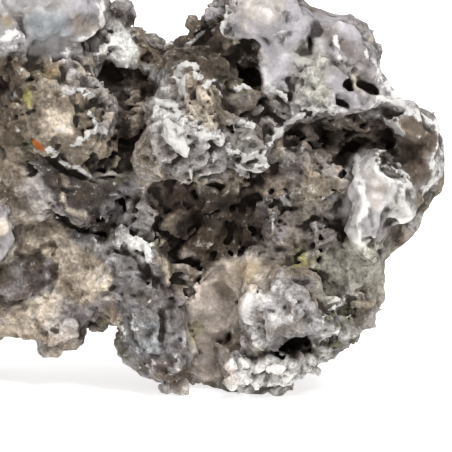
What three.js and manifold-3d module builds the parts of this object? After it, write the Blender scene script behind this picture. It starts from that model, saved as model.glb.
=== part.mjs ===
// A viewing stone: one craggy, water-worn block of grey limestone that stands on its own worn feet.
// Millimetres, +Z up, and the front of the stone faces -Y.
// The body is a field: lumps that flow into each other, caves and niches worn out of them, ledges that
// stand in front of those, and weathering over it all. Marching cubes finds its surface. Then the clefts
// and pits are cut in, and the feet are cut flat.
import * as THREE from "three";
import { ImprovedNoise } from "three/addons/math/ImprovedNoise.js";
import { MarchingCubes } from "three/addons/objects/MarchingCubes.js";
import { mergeVertices } from "three/addons/utils/BufferGeometryUtils.js";
import Module from "manifold-3d";

const wasm = await Module();
wasm.setup();

// Driving dimensions
const stoneWidth = 266; // overall length of the stone along X
const frontCell = 5.1; // the field's cells at the front of the stone
const cellGrowth = 0.29; // how much each row of cells grows towards the back
const fieldFront = -88; // where the first row of cells starts along Y
const fieldMiddle = { x: -33, z: 92 };
const fieldCells = 54; // along each side of the field
const cornerStray = 0.55; // how far the cells' corners lie out of line, in cells
const blend = { mass: 12, boss: 6, ledge: 4, hollow: 4 }; // how softly the lumps flow into each other
const pitDetail = 2; // how finely a pit is faceted
const pitRaggedness = 0.7; // how far a pit is out of round
const pitBumps = 2; // bumps of that raggedness across a pit
const crestHeight = 0.45; // how far the crests of the crags stand above the mean surface, of their depth

// Roughness of the weathered surface: the depth and the spacing of each scale of relief
const swell = { depth: 5, spacing: 41 };
const crag = { depth: 6, spacing: 21 };
const backCrag = { depth: 12, spacing: 37, starts: 5, whole: 45 }; // takes over from crag along Y
const chip = { depth: 2.5, spacing: 11 };

// Every lump and hollow has its middle, its three half-lengths and, where it is turned, its turn in
// degrees about X, Y and Z. X runs to the right of the front view.

// The main masses, which carry everything else
const masses = {
  leftMass: { at: [-93, 10, 110], half: [46, 38, 54] },
  farLeftMass: { at: [-130, 12, 92], half: [34, 42, 58], turn: [0, -8, 0] },
  centreMass: { at: [-22, 14, 102], half: [46, 36, 46] },
  peak: { at: [15, 4, 146], half: [31, 33, 39] },
  rightMass: { at: [48, 10, 97], half: [46, 40, 43], turn: [0, 18, 0] },
  lowerRightMass: { at: [29, 8, 48], half: [36, 38, 38] },
  backMass: { at: [-8, 44, 72], half: [74, 34, 66] },
  nicheWall: { at: [-6, 22, 33], half: [30, 31, 29] },
  leftPlate: { at: [-84, 8, 54], half: [45, 24, 31], turn: [0, -6, 0] },
};

// The bosses, knobs and ribs that stand out of the masses
const bosses = {
  leftCrown: { at: [-82, -26, 172], half: [28, 28, 18] },
  leftCrownRoot: { at: [-92, 2, 160], half: [30, 34, 21], turn: [-8, 10, 0] },
  leftCrownKnob: { at: [-64, -34, 173], half: [10, 14, 12] },
  leftCrownCheek: { at: [-99, -32, 158], half: [14, 22, 12] },
  saddleRidge: { at: [-51, 6, 166], half: [11, 13, 10], turn: [0, 30, 0] },
  saddleFace: { at: [-44, 14, 150], half: [23, 22, 14], turn: [0, 15, 0] },
  leftBoss: { at: [-73, -24, 125], half: [24, 26, 29], turn: [0, -12, 0] },
  keel: { at: [-64, -16, 90], half: [24, 20, 17], turn: [0, 25, 0] },
  leftEdgeBoss: { at: [-107, -38, 71], half: [14, 17, 15] },
  centreBoss: { at: [-20, -34, 117], half: [18, 27, 19], turn: [0, 25, 0] },
  centreShelf: { at: [4, -22, 108], half: [17, 21, 12], turn: [0, 15, 0] },
  crustKnob: { at: [-18, -20, 139], half: [10, 15, 13], turn: [0, 20, 0] },
  shoulderRib: { at: [-38, -16, 84], half: [9, 16, 19], turn: [0, 22, 0] },
  peakKnob: { at: [20, -10, 165], half: [20, 22, 17] },
  rightKnob: { at: [51, -2, 150], half: [17, 22, 13], turn: [0, 32, 0] },
  rightBrow: { at: [52, -20, 131], half: [28, 17, 9], turn: [0, 30, 0] },
  shoulderTip: { at: [84, 0, 108], half: [14, 22, 16] },
  rightCheek: { at: [55, -8, 57], half: [17, 22, 18] },
  apron: { at: [26, -30, 41], half: [22, 22, 18], turn: [0, -14, 0] },
  apronKnob: { at: [38, -30, 33], half: [13, 17, 9], turn: [0, -25, 0] },
  endBoss: { at: [-140, -26, 122], half: [19, 20, 23], turn: [0, 15, 0] },
  endRib: { at: [-131, -26, 76], half: [11, 17, 25], turn: [0, -14, 0] },
  endKnob: { at: [-142, 14, 148], half: [17, 24, 12], turn: [10, -24, 0] },
  backRib: { at: [-24, 64, 104], half: [11, 20, 34], turn: [0, -24, 0] },
  backShoulder: { at: [44, 58, 106], half: [26, 22, 13], turn: [-14, 22, 0] },
  backCrest: { at: [12, 30, 164], half: [12, 22, 22], turn: [24, 14, 0] },
  backBoss: { at: [-92, 44, 120], half: [27, 20, 24], turn: [0, 20, 0] },
};

// The legs and feet that carry the stone
const legs = {
  thigh: { at: [-43, -12, 56], half: [18, 21, 25], turn: [0, -18, 0] },
  shin: { at: [-34, -15, 29], half: [17, 18, 27], turn: [0, -16, 0] },
  frontFoot: { at: [-23, -29, 4], half: [10, 11, 19], turn: [0, -10, 0] },
  nicheSill: { at: [-4, -2, 13], half: [26, 14, 11], turn: [0, 4, 0] },
  crustFoot: { at: [16, -20, 6], half: [12, 11, 14] },
  backFoot: { at: [12, 46, 8], half: [24, 19, 18] },
  leftFoot: { at: [-134, 14, 28], half: [24, 30, 36], turn: [0, 6, 0] },
  leftHeel: { at: [-122, 42, 22], half: [26, 15, 27], turn: [0, 34, 0] },
};

// The tusk in front of the cave, and the thin ledges and teeth
const ledges = {
  tusk: { at: [65, -38, 89], half: [11, 14, 23], turn: [0, 8, 0] },
  tuskLedge: { at: [77, -28, 86], half: [11, 16, 7], turn: [0, -14, 0] },
  cheekLedge: { at: [56, -15, 38], half: [12, 14, 5], turn: [0, -14, 0] },
  lowerLedge: { at: [47, -17, 27], half: [16, 16, 6], turn: [0, -20, 0] },
  bottomCrust: { at: [21, -36, 14], half: [26, 17, 8], turn: [0, -19, 0] },
  plateTooth: { at: [-76, -8, 25], half: [9, 11, 8], turn: [0, 20, 0] },
  keelEdge: { at: [-62, -26, 84], half: [20, 11, 7], turn: [0, 36, 0] },
  endLedge: { at: [-152, -8, 66], half: [18, 28, 8], turn: [0, 16, 0] },
  backLedge: { at: [18, 66, 62], half: [42, 22, 8], turn: [12, 12, 0] },
  backShelf: { at: [-96, 46, 76], half: [30, 24, 8], turn: [10, -14, 0] },
  heelLedge: { at: [10, 58, 24], half: [34, 16, 7], turn: [8, -8, 0] },
};

// The caves and niches that are worn out of the masses
const hollows = {
  cave: { at: [67, -34, 108], half: [25, 32, 14], turn: [0, 10, 0] },
  caveThroat: { at: [38, -38, 116], half: [15, 28, 10], turn: [0, -10, 0] },
  peakHollow: { at: [8, -38, 141], half: [11, 30, 12] },
  recess: { at: [0, -40, 76], half: [28, 30, 18], turn: [0, -12, 0] },
  niche: { at: [-3, -34, 36], half: [15, 28, 24] },
  leftGrotto: { at: [-112, -34, 118], half: [11, 17, 15] },
  arch: { at: [-90, -6, 4], half: [37, 90, 18] },
  endHollow: { at: [-164, 2, 104], half: [18, 24, 22] },
  endGrotto: { at: [-126, -44, 100], half: [11, 22, 12] },
  backCave: { at: [-60, 70, 88], half: [22, 34, 24], turn: [0, -20, 0] },
  backGrotto: { at: [34, 86, 84], half: [27, 30, 12], turn: [0, 14, 0] },
  backNiche: { at: [-4, 88, 46], half: [20, 26, 14], turn: [0, -10, 0] },
  backNotch: { at: [-10, 66, 142], half: [13, 34, 15] },
  heelHollow: { at: [-44, 70, 14], half: [26, 34, 22] },
};

// The clefts and small pits
const pits = {
  cleft: { at: [-54, -36, 76], half: [18, 20, 4.5], turn: [0, -38, 0] },
  bossGap: { at: [-44, -40, 104], half: [6, 16, 10], turn: [0, 14, 0] },
  cheekRecess: { at: [50, -26, 35], half: [9, 14, 4.5], turn: [0, -14, 0] },
  crustGap: { at: [30, -46, 23], half: [16, 13, 3.5], turn: [0, -19, 0] },
  upperPit: { at: [53, -38, 144], half: [5, 14, 4] },
  middlePit: { at: [58, -38, 136], half: [4.5, 14, 4.5] },
  outerPit: { at: [69, -32, 132], half: [6, 14, 4], turn: [0, 20, 0] },
  lowerPit: { at: [52, -40, 128], half: [5.5, 14, 3.5] },
  tuskPit: { at: [78, -34, 72], half: [4, 16, 5] },
  recessPit: { at: [-12, -28, 88], half: [6, 16, 7] },
  endPit: { at: [-142, -46, 108], half: [5, 16, 5] },
  backPit: { at: [24, 82, 112], half: [6, 20, 5] },
  heelPit: { at: [44, 62, 48], half: [7, 20, 6] },
};

const noise = new ImprovedNoise();

// One scale of relief at a point, from -1 to 1
function relief(point, { spacing }) {
  return noise.noise(point.x / spacing, point.y / spacing, point.z / spacing);
}

// Sharp crests of one scale at a point, with the hollows between them below zero
function crests(point, scale) {
  return scale.depth * (crestHeight - 2 * Math.abs(relief(point, scale)));
}

// How far the weathered surface stands out at a point: broad swells, sharp crags and small chips
function weathering(point) {
  const back = THREE.MathUtils.smoothstep(point.y, backCrag.starts, backCrag.whole);
  const crags = THREE.MathUtils.lerp(crests(point, crag), crests(point, backCrag), back);
  return swell.depth * relief(point, swell) + crags + chip.depth * relief(point, chip);
}

// The matrix that places a unit ball as a lump
function placement({ at, half, turn = [0, 0, 0] }) {
  const angles = turn.map(THREE.MathUtils.degToRad);
  const turned = new THREE.Quaternion().setFromEuler(new THREE.Euler(...angles));
  return new THREE.Matrix4().compose(new THREE.Vector3(...at), turned, new THREE.Vector3(...half));
}

// A function that gives a point's distance from a lump's surface, below zero inside it
function distanceFrom(lump) {
  const toUnitBall = placement(lump).invert();
  const half = new THREE.Vector3(...lump.half);
  const local = new THREE.Vector3();
  return (point) => {
    const reach = local.copy(point).applyMatrix4(toUnitBall).length();
    return (reach * (reach - 1)) / local.divide(half).length();
  };
}

const distances = (group) => Object.values(group).map(distanceFrom);

// The smaller of two distances, rounded where they meet
function softMin(a, b, width) {
  const overlap = Math.max(width - Math.abs(a - b), 0) / width;
  return Math.min(a, b) - (overlap * overlap * width) / 4;
}

const body = {
  masses: distances(masses),
  bosses: distances(bosses),
  legs: distances(legs),
  ledges: distances(ledges),
  hollows: distances(hollows),
};

// A point's depth inside the weathered body, below zero outside it
function depthInside(point) {
  const join = (whole, group, width) =>
    group.reduce((distance, lump) => softMin(distance, lump(point), width), whole);
  const heavy = join(Infinity, body.masses, blend.mass);
  const bossed = join(heavy, [...body.bosses, ...body.legs], blend.boss);
  const hollowed = -join(-bossed, body.hollows, blend.hollow);
  return weathering(point) - join(hollowed, body.ledges, blend.ledge);
}

// A closed geometry as a solid that can be joined and cut
function toSolid(geometry) {
  geometry.deleteAttribute("normal");
  geometry.deleteAttribute("uv");
  const merged = mergeVertices(geometry);
  const vertProperties = merged.attributes.position.array;
  return new wasm.Manifold(
    new wasm.Mesh({ numProp: 3, vertProperties, triVerts: new Uint32Array(merged.index.array) }),
  );
}

// A solid's faces as a geometry, with one flat normal for each facet
function toGeometry(solid) {
  const { vertProperties, triVerts } = solid.getMesh();
  const geometry = new THREE.BufferGeometry();
  geometry.setAttribute("position", new THREE.BufferAttribute(vertProperties, 3));
  geometry.setIndex(new THREE.BufferAttribute(triVerts, 1));
  const faceted = geometry.toNonIndexed();
  faceted.computeVertexNormals();
  return faceted;
}

// Where a corner of the field's cells lies in the stone. The cells grow towards the back, and their
// corners lie a little out of line, so that the facets look broken and not sawn.
function cellCorner(i, j, k) {
  const size = frontCell + cellGrowth * j;
  const step = 0.77; // of the noise for each cell
  const stray = (place) => cornerStray * noise.noise(step * i + place, step * j + place, step * k + place);
  const [strayX, strayY, strayZ] = [0.3, 9.4, 17.6].map(stray);
  const x = fieldMiddle.x + (i - fieldCells / 2 + strayX) * size;
  const y = fieldFront + (frontCell + (cellGrowth * j) / 2) * j + strayY * size;
  const z = fieldMiddle.z + (k - fieldCells / 2 + strayZ) * size;
  return new THREE.Vector3(x, y, z);
}

// Where a point on an edge of the cells lies in the stone
function onCellEdge(...cell) {
  const low = cellCorner(...cell.map(Math.floor));
  const high = cellCorner(...cell.map(Math.ceil));
  return low.lerp(high, Math.max(...cell.map((along) => along % 1)));
}

// The weathered body as a solid
function makeBody() {
  const mostTriangles = 40000;
  const cubes = new MarchingCubes(fieldCells, new THREE.Material(), false, false, mostTriangles);
  cubes.isolation = 0;
  const cornerGap = 0.8; // keeps the surface off the cells' corners, where facets would be slivers
  for (let k = 0; k < fieldCells; k++) {
    for (let j = 0; j < fieldCells; j++) {
      for (let i = 0; i < fieldCells; i++) {
        const depth = depthInside(cellCorner(i, j, k));
        cubes.setCell(i, j, k, Math.sign(depth) * Math.max(Math.abs(depth), cornerGap));
      }
    }
  }
  cubes.update();
  const surface = new THREE.BufferAttribute(cubes.positionArray.slice(0, 3 * cubes.count), 3);
  const toCells = (along) => Number((((along + 1) * fieldCells) / 2).toFixed(3));
  for (let n = 0; n < surface.count; n++) {
    const cell = [surface.getX(n), surface.getY(n), surface.getZ(n)].map(toCells);
    surface.setXYZ(n, ...onCellEdge(...cell));
  }
  return toSolid(new THREE.BufferGeometry().setAttribute("position", surface));
}

// What is cut out for one cleft or pit: a ragged, faceted ellipsoid
function raggedLump(lump) {
  const ball = new THREE.IcosahedronGeometry(1, pitDetail);
  const corners = ball.attributes.position;
  const corner = new THREE.Vector3();
  const place = new THREE.Vector3(...lump.at);
  for (let n = 0; n < corners.count; n++) {
    corner.fromBufferAttribute(corners, n);
    const { x, y, z } = corner.clone().multiplyScalar(pitBumps).add(place);
    corner.multiplyScalar(1 + pitRaggedness * noise.noise(x, y, z));
    corners.setXYZ(n, ...corner);
  }
  return toSolid(ball.applyMatrix4(placement(lump)));
}

// What lies below the plane that the feet stand on
function belowFeet() {
  const depth = 100;
  const side = 4 * stoneWidth;
  const block = new THREE.BoxGeometry(side, side, depth);
  block.translate(0, 0, -depth / 2);
  return toSolid(block);
}

// The stone without the chips that the cuts leave loose
function largestPiece(solid) {
  return solid.decompose().reduce((best, piece) => (piece.volume() > best.volume() ? piece : best));
}

// The stone at its overall length, with its origin under the middle of its box
function makeStone() {
  const cuts = [...Object.values(pits).map(raggedLump), belowFeet()];
  const carved = cuts.reduce((stone, cut) => stone.subtract(cut), makeBody());
  const geometry = toGeometry(largestPiece(carved));
  geometry.computeBoundingBox();
  const { min, max } = geometry.boundingBox;
  geometry.translate(-(min.x + max.x) / 2, -(min.y + max.y) / 2, -min.z);
  const scale = stoneWidth / (max.x - min.x);
  geometry.scale(scale, scale, scale);

  const limestone = new THREE.MeshStandardMaterial({ color: 0x857d72, roughness: 0.82, metalness: 0 });
  const stone = new THREE.Mesh(geometry, limestone);
  stone.name = "stone";
  return stone;
}

const viewingStone = new THREE.Group();
viewingStone.name = "viewing_stone";
viewingStone.add(makeStone());

export default viewingStone;
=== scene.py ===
import math
import bpy
import bmesh
import numpy as np
import openvdb
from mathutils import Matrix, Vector


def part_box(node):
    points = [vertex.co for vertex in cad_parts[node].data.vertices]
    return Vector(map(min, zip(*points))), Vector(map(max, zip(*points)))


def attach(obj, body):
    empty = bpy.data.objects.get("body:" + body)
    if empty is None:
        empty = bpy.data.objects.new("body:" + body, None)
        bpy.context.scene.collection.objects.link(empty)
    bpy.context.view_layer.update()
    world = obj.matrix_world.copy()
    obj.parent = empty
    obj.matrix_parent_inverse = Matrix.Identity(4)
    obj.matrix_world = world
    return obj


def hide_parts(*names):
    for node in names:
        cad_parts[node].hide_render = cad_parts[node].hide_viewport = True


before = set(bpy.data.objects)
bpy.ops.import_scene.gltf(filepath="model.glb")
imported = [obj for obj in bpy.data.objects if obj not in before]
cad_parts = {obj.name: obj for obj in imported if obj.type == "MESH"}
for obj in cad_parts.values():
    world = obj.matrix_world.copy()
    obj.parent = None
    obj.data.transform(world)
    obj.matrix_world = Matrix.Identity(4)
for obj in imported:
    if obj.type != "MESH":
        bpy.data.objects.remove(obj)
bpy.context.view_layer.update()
solidLow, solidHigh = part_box("stone")
scene = bpy.context.scene

# lengths are in millimetres up to the finished mesh, places on the front are in pixels of the 452 px picture
look = {"picture": 452, "pixel": 0.45, "rise": 6, "away": 1600, "rightEdge": 443, "aimHeight": 71}
stone = {
    "voxel": 1.0,
    "soften": 2.0,
    "reach": 9.0,
    "triangles": 196000,
    "firstTriangles": 310000,
    "bend": 1.3,
}


def srgb(red, green, blue):
    channels = np.array([red, green, blue]) / 255
    return np.where(channels < 0.04045, channels / 12.92, ((channels + 0.055) / 1.055) ** 2.4)


palette = {
    "rock": srgb(130, 119, 105),
    "brown": srgb(96, 82, 68),
    "dark": srgb(62, 52, 43),
    # near black: painted shade in gaps and deep hollows, with some soot
    "shadeAndSoot": srgb(30, 24, 19),
    "lilac": srgb(176, 172, 176),
    "skin": srgb(168, 165, 166),
    "blue": srgb(160, 166, 170),
    "white": srgb(238, 236, 232),
    "cream": srgb(214, 200, 181),
    "tan": srgb(157, 143, 127),
    "pink": srgb(206, 193, 183),
    "keel": srgb(76, 71, 67),
    "ochre": srgb(160, 138, 102),
    "lichen": srgb(168, 162, 98),
    "moss": srgb(96, 97, 78),
    "green": srgb(184, 182, 169),
    "slate": srgb(112, 108, 107),
    "rust": srgb(176, 104, 48),
}

# camera: level with the middle of the stone, a long way off
rise = math.radians(look["rise"])
fromRight = (look["rightEdge"] - look["picture"] / 2) * look["pixel"]
aim = np.array([solidHigh.x * 1000 - fromRight, 0, look["aimHeight"]])
backward = np.array([0, -math.cos(rise), math.sin(rise)])
upward = np.array([0, math.sin(rise), math.cos(rise)])
eye = aim + backward * look["away"]
camera = bpy.data.objects.new("camera", bpy.data.cameras.new("camera"))
camera.data.sensor_width = 36
camera.data.lens = 36 * look["away"] / (look["picture"] * look["pixel"])
camera.data.clip_start = 0.05
camera.location = eye / 1000
camera.rotation_mode = "QUATERNION"
camera.rotation_quaternion = Vector(-backward).to_track_quat("-Z", "Y")
scene.collection.objects.link(camera)
scene.camera = camera
print("camera ready")

# the solid as a field of distances
source = bmesh.new()
source.from_mesh(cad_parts["stone"].data)
bmesh.ops.remove_doubles(source, verts=source.verts, dist=1e-6)
bmesh.ops.triangulate(source, faces=source.faces)
sourcePoints = np.array([vert.co for vert in source.verts], np.float32) * 1000
sourceTriangles = np.array([[vert.index for vert in face.verts] for face in source.faces], np.uint32)
source.free()

voxel = stone["voxel"]
boxLow = np.array(solidLow) * 1000
boxHigh = np.array(solidHigh) * 1000
gridLow = np.floor(boxLow / voxel).astype(int) - 7
shape = np.ceil(boxHigh / voxel).astype(int) + 8 - gridLow
halfWidth = stone["reach"] / voxel
grid = openvdb.FloatGrid.createLevelSetFromPolygons(
    sourcePoints,
    triangles=sourceTriangles,
    transform=openvdb.createLinearTransform(voxel),
    halfWidth=halfWidth,
)
depth = np.zeros(shape, np.float32)
grid.copyToArray(depth, ijk=tuple(int(i) for i in gridLow))
xs, ys, zs = ((gridLow[i] + np.arange(shape[i])) * voxel for i in range(3))


def shaped(values, axis):
    return values.reshape([-1 if i == axis else 1 for i in range(3)]).astype(np.float32)


def blurred(field, sigma):
    reach = int(np.ceil(2.5 * sigma / voxel))
    bell = np.exp(-0.5 * (np.arange(-reach, reach + 1) * voxel / sigma) ** 2)
    bell /= bell.sum()
    for axis in range(3):
        wide = np.pad(field, [(reach, reach) if i == axis else (0, 0) for i in range(3)], mode="edge")
        total = np.zeros_like(field)
        for first, weight in enumerate(bell):
            cut = [slice(None)] * 3
            cut[axis] = slice(first, first + field.shape[axis])
            total += np.float32(weight) * wide[tuple(cut)]
        field = total
    return field


# random lattice values, joined by cubic splines
def noise(spacing, seed):
    spacing = np.broadcast_to(np.asarray(spacing, float), 3)
    chance = np.random.default_rng(seed)
    cells = [int(shape[i] * voxel / spacing[i]) + 6 for i in range(3)]
    field = chance.standard_normal(cells).astype(np.float32)
    starts = chance.random(3)
    for axis in range(3):
        at = np.arange(shape[axis]) * voxel / spacing[axis] + 1 + starts[axis]
        base = np.floor(at).astype(int)
        share = at - base
        weights = [(1 - share) ** 3 / 6, 2 / 3 - share ** 2 + share ** 3 / 2,
                   2 / 3 - (1 - share) ** 2 + (1 - share) ** 3 / 2, share ** 3 / 6]
        total = 0
        for turn, weight in enumerate(weights):
            total = total + shaped(weight, axis) * np.take(field, base + turn - 1, axis)
        field = total
    return field * np.float32(1 / field.std())


def placesAt(index):
    return np.stack([xs[index[0]], ys[index[1]], zs[index[2]]], -1)


def step(value, low, high):
    share = np.clip((value - low) / (high - low), 0, 1)
    return share * share * (3 - 2 * share)


def sampled(field, points):
    at = points / voxel - gridLow
    base = np.clip(np.floor(at).astype(int), 0, shape - 2)
    share = (at - base).astype(np.float32)
    total = 0
    for corner in np.ndindex(2, 2, 2):
        weight = np.prod(np.where(corner, share, 1 - share), axis=1)
        i, j, k = (base + corner).T
        total = total + weight * field[i, j, k]
    return total


# places in the picture, on a canvas that reaches past its edges
canvasLow = np.array([-170, -70])
canvasSize = np.array([640, 520])


def toPicture(points):
    offset = points - eye
    away = -(offset @ backward)
    scale = look["away"] / (away * look["pixel"])
    half = look["picture"] / 2
    return half + offset[..., 0] * scale, half - (offset @ upward) * scale, away


def toSpace(u, v, away):
    half = look["picture"] / 2
    scale = away * look["pixel"] / look["away"]
    sideways = (np.asarray(u) - half) * scale
    height = (half - np.asarray(v)) * scale
    return eye + np.stack([sideways, 0 * sideways, 0 * sideways], -1) \
        + height[..., None] * upward - np.asarray(away)[..., None] * backward


awayPlane = -((ys - eye[1])[:, None] * backward[1] + (zs - eye[2])[None, :] * backward[2])
heightPlane = (ys - eye[1])[:, None] * upward[1] + (zs - eye[2])[None, :] * upward[2]
scalePlane = look["away"] / (awayPlane * look["pixel"])
vPlane = look["picture"] / 2 - heightPlane * scalePlane
uSpace = look["picture"] / 2 + (xs - eye[0])[:, None, None] * scalePlane[None]
uIndex = np.clip(uSpace - canvasLow[0], 0, canvasSize[0] - 1).astype(np.int32)
vIndex = np.clip(vPlane - canvasLow[1], 0, canvasSize[1] - 1).astype(np.int32)
del uSpace


def cellOf(u, v):
    row = np.clip(v - canvasLow[1], 0, canvasSize[1] - 1).astype(int)
    column = np.clip(u - canvasLow[0], 0, canvasSize[0] - 1).astype(int)
    return row, column


def onGrid(canvas):
    return canvas[vIndex[None], uIndex]


# how far away the stone's face is at each place of the canvas
def faceDepth(field):
    stride = 3
    skinAt = np.nonzero(np.abs(field) < 0.8 * voxel)
    u, v, away = toPicture(placesAt(skinAt))
    column = np.clip((u - canvasLow[0]) / stride, 0, canvasSize[0] // stride).astype(int)
    row = np.clip((v - canvasLow[1]) / stride, 0, canvasSize[1] // stride).astype(int)
    found = np.full((canvasSize[1] // stride + 1, canvasSize[0] // stride + 1), np.inf)
    np.minimum.at(found, (row, column), away)
    # places beside the stone take the depth of their neighbours
    for turn in range(24):
        near = np.pad(found, 1, constant_values=np.inf)
        around = np.stack([near[1:-1, :-2], near[1:-1, 2:], near[:-2, 1:-1], near[2:, 1:-1]])
        known = np.isfinite(around)
        spread = np.where(known, around, 0).sum(0) / np.maximum(known.sum(0), 1)
        found = np.where(np.isinf(found) & known.any(0), spread, found)
    found = np.where(np.isinf(found), look["away"], found)
    return np.repeat(np.repeat(found, stride, 0), stride, 1)[:canvasSize[1], :canvasSize[0]]


bendU, bendV = np.meshgrid(
    canvasLow[0] + np.arange(canvasSize[0], dtype=np.float32),
    canvasLow[1] + np.arange(canvasSize[1], dtype=np.float32),
)


def flatNoise(spacing, seed):
    chance = np.random.default_rng(seed)
    total = chance.standard_normal((int(canvasSize[1] / spacing) + 6, int(canvasSize[0] / spacing) + 6))
    for axis in range(2):
        at = np.arange(canvasSize[1 - axis]) / spacing + 1.5
        gap = np.abs(at[:, None] - np.arange(total.shape[axis])[None, :])
        weights = np.where(gap < 1, 2 / 3 - gap ** 2 + gap ** 3 / 2, np.clip(2 - gap, 0, None) ** 3 / 6)
        total = np.moveaxis(np.tensordot(weights, total, (1, axis)), 0, axis)
    return total / total.std()


bendU += 2.4 * flatNoise(13, 401) + 1.3 * flatNoise(5, 402)
bendV += 2.4 * flatNoise(13, 403) + 1.3 * flatNoise(5, 404)


# the part of the canvas that a shape can touch
def patchOf(corners, margin):
    low = np.clip(np.min(corners, 0).astype(int) - margin - canvasLow, 0, canvasSize)
    high = np.clip(np.max(corners, 0).astype(int) + margin - canvasLow, 0, canvasSize)
    return slice(low[1], high[1]), slice(low[0], high[0])


def gapTo(u, v, first, second):
    along = second - first
    length = max(along @ along, 1e-9)
    share = np.clip(((u - first[0]) * along[0] + (v - first[1]) * along[1]) / length, 0, 1)
    return np.hypot(u - first[0] - share * along[0], v - first[1] - share * along[1])


# a soft-edged area of the canvas, drawn by its corners
def area(corners, soft=4):
    corners = np.array(corners, float)
    cut = patchOf(corners, 18)
    u, v = bendU[cut], bendV[cut]
    nearest = np.full(u.shape, 1e9)
    inside = np.zeros(u.shape, bool)
    for first, second in zip(corners, np.roll(corners, -1, 0)):
        nearest = np.minimum(nearest, gapTo(u, v, first, second))
        along = second - first
        crosses = (first[1] > v) != (second[1] > v)
        rising = along[1] if along[1] else 1e-9
        inside ^= crosses & (u < first[0] + (v - first[1]) * along[0] / rising)
    result = np.zeros(bendU.shape, np.float32)
    result[cut] = step(np.where(inside, nearest, -nearest), -soft, soft)
    return result


# a soft-edged line of the canvas
def line(wide, corners):
    corners = np.array(corners, float)
    cut = patchOf(corners, 18)
    gap = np.full(bendU[cut].shape, 1e9)
    for first, second in zip(corners[:-1], corners[1:]):
        gap = np.minimum(gap, gapTo(bendU[cut], bendV[cut], first, second))
    result = np.zeros(bendU.shape, np.float32)
    result[cut] = 1 - step(gap, wide * 0.5, wide * 1.5)
    return result


# how rough each area of the face is, against the craggy rest
calmAreas = {
    "crown": (0.22, [(-60, -60), (98, -60), (104, 30), (100, 52), (40, 58), (20, 45), (-60, 50)]),
    "peakSkin": (0.12, [(236, -60), (300, 5), (345, 15), (362, 35), (385, 78), (415, 112), (385, 95),
                        (350, 70),
                        (320, 55), (268, 90), (266, 55), (255, 38), (236, 35)]),
    "pitSkin": (0.2, [(320, 58), (350, 70), (388, 90), (410, 112), (370, 105), (335, 115), (325, 90)]),
    "saddle": (0.65, [(105, 20), (130, 25), (146, 45), (140, 70), (108, 62)]),
    "tusk": (0.14, [(345, 155), (370, 150), (385, 180), (418, 185), (413, 222), (388, 238), (352, 255),
                    (340, 185)]),
    "rightWall": (0.25, [(402, 115), (440, 118), (443, 160), (425, 195), (405, 180), (398, 145)]),
    "boss": (0.5, [(38, 80), (75, 82), (78, 135), (42, 135), (20, 120), (18, 88)]),
    "keel": (0.45, [(30, 150), (75, 168), (128, 178), (90, 222), (75, 222), (50, 195)]),
    "sideLump": (0.1, [(-30, 205), (12, 210), (20, 235), (14, 262), (-30, 268)]),
    "plate": (0.65, [(-60, 150), (20, 150), (55, 200), (75, 235), (105, 262), (120, 300), (122, 325),
                     (85, 330),
                     (60, 350), (-60, 340)]),
    "leg": (0.6, [(98, 250), (150, 262), (160, 290), (195, 320), (192, 370), (130, 360), (100, 320)]),
    "niche": (0.25, [(190, 285), (215, 258), (262, 255), (258, 300), (225, 345), (230, 378), (192, 378)]),
    "dome": (0.3, [(170, 262), (200, 225), (226, 225), (222, 250), (195, 265)]),
    "facets": (0.5, [(318, 255), (345, 250), (388, 245), (382, 292), (350, 298), (318, 300)]),
}
rough = np.ones(bendU.shape)
for share, corners in calmAreas.values():
    mask = area(corners, 5)
    rough = rough * (1 - mask) + share * mask

depth = blurred(depth, stone["soften"]) - 0.25
face = faceDepth(depth)
behind = awayPlane[None] - onGrid(face)
front = 1 - step(behind, 28, 55)
wander = step(noise(46, 11), -0.9, 1.0)
calm = onGrid(rough) * front + (0.3 + 0.75 * wander) * (1 - front)
rim = line(12, [(296, 8), (320, 20), (342, 20), (358, 32), (372, 50), (386, 78), (402, 97), (416, 113),
                (433, 122),
                (442, 136), (443, 152), (437, 172), (424, 192), (414, 208), (407, 228), (394, 252),
                (384, 276),
                (380, 296), (368, 314)])
calm = calm * (1 - 0.75 * onGrid(rim))
print("solid read", tuple(shape))

# every place near the skin, where the wear works
bandAt = np.nonzero(np.abs(depth) < 7)
places = placesAt(bandAt).astype(np.float32)


# flat chips: each cell of broken ground has a tilt and a level of its own
def chips(size, seed, stretch=(1, 1, 1)):
    chance = np.random.default_rng(seed)
    span = 64
    stray = chance.random((span, span, span, 3)).astype(np.float32) * 0.8 + 0.1
    tilt = chance.standard_normal((span, span, span, 3)).astype(np.float32) * 0.55
    rank = chance.standard_normal((span, span, span)).astype(np.float32)
    at = (places + bent) / (size * np.array(stretch, np.float32)) + 100
    corner = np.floor(at - 0.5).astype(np.int32)
    best = np.full(len(at), 9.0, np.float32)
    height = np.zeros(len(at), np.float32)
    for shift in np.ndindex(2, 2, 2):
        cell = corner + np.array(shift, np.int32)
        i, j, k = (cell % span).T
        offset = at - cell - stray[i, j, k]
        gap = np.einsum("ij,ij->i", offset, offset)
        nearer = gap < best
        best = np.where(nearer, gap, best)
        height = np.where(nearer, np.einsum("ij,ij->i", offset, tilt[i, j, k]) + 0.35 * rank[i, j, k], height)
    return height


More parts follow.
